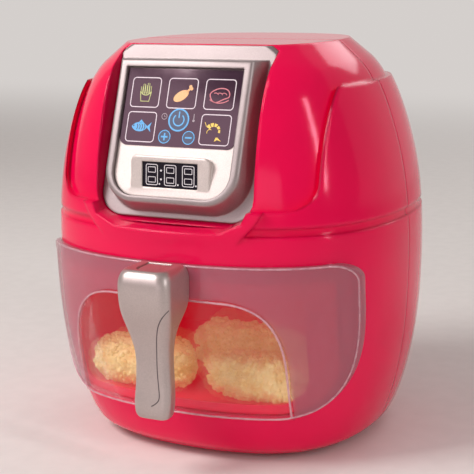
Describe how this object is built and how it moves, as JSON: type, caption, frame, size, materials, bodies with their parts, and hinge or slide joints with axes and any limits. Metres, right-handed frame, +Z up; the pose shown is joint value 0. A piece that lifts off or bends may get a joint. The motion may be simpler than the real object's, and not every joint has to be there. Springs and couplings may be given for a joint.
{
  "type": "toy air fryer",
  "caption": "Barrel-shaped play air fryer with a sloping control panel and a see-through pull-out drawer that has a front handle and holds play food.",
  "frame": {"origin": "on the table, below the centre of the housing", "axes": "+Z up; the drawer and the panel face -Y; +X to the right as seen from the front"},
  "size_m": [0.1762, 0.1848, 0.1925],
  "materials": {
    "shell_pink": "glossy crimson-pink moulded plastic",
    "bay_red": "dark red moulded plastic",
    "silver": "warm silver metallic paint on plastic, satin",
    "light_silver": "light satin silver paint on plastic",
    "film": "glossy near-black printed film",
    "lens": "dark glossy window",
    "smoky": "smoky see-through plastic",
    "food": "pale yellow soft plastic with a crumb texture",
    "steel": "zinc-plated steel",
    "board_green": "green circuit board",
    "black_plastic": "black plastic",
    "white_plastic": "white plastic",
    "wire": "red insulated wire",
    "cell": "plain dark green battery sleeve"
  },
  "bodies": {
    "housing": {"front_shell": "shell_pink", "rear_shell": "shell_pink", "base_plate": "shell_pink", "shell_screws": "steel", "base_screws": "steel", "drawer_bay": "bay_red", "panel_bezel": "silver", "display_plate": "light_silver", "control_film": "film", "display_lens": "lens", "circuit_board": "board_green", "tact_switches": "black_plastic", "digit_display": "black_plastic", "icon_leds": "white_plastic", "panel_screws": "steel", "speaker": "black_plastic", "speaker_clamp": "black_plastic", "speaker_screws": "steel", "speaker_leads": "wire", "battery_box": "black_plastic", "battery_contacts": "steel", "battery_cells": "cell", "battery_leads": "wire", "power_switch_body": "black_plastic"},
    "drawer": {"drawer_front": "smoky", "drawer_basket": "bay_red", "handle_front": "silver", "handle_rear": "silver", "button_spring": "steel", "handle_screws": "steel", "play_food_left": "food", "play_food_middle": "food", "play_food_right": "food"},
    "thumb": {"handle_button": "silver"},
    "power": {"power_key": "white_plastic"},
    "plus": {"plus_key": "white_plastic"},
    "minus": {"minus_key": "white_plastic"},
    "switch": {"power_switch_slider": "black_plastic"},
    "door": {"battery_door": "shell_pink", "battery_door_screw": "steel"}
  },
  "joints": [
    {"name": "drawer_slide", "type": "slide", "parent": "housing", "child": "drawer", "axis": [0, -1, 0], "range_m": [0, 0.125]},
    {"name": "thumb_press", "type": "slide", "parent": "drawer", "child": "thumb", "axis": [0, 0, -1], "range_m": [0, 0.002], "stiffness_N_per_m": 200, "springref_m": -0.002, "deforming": ["button_spring"]},
    {"name": "power_press", "type": "slide", "parent": "housing", "child": "power", "axis": [0, 0.9397, -0.342], "range_m": [0, 0.0005], "stiffness_N_per_m": 400, "springref_m": -0.0005},
    {"name": "plus_press", "type": "slide", "parent": "housing", "child": "plus", "axis": [0, 0.9397, -0.342], "range_m": [0, 0.0005], "stiffness_N_per_m": 400, "springref_m": -0.0005},
    {"name": "minus_press", "type": "slide", "parent": "housing", "child": "minus", "axis": [0, 0.9397, -0.342], "range_m": [0, 0.0005], "stiffness_N_per_m": 400, "springref_m": -0.0005},
    {"name": "switch_slide", "type": "slide", "parent": "housing", "child": "switch", "axis": [1, 0, 0], "range_m": [0, 0.004]},
    {"name": "door_lift_off", "type": "slide", "parent": "housing", "child": "door", "axis": [0, 1, 0], "range_m": [0, 0.04]}
  ]
}
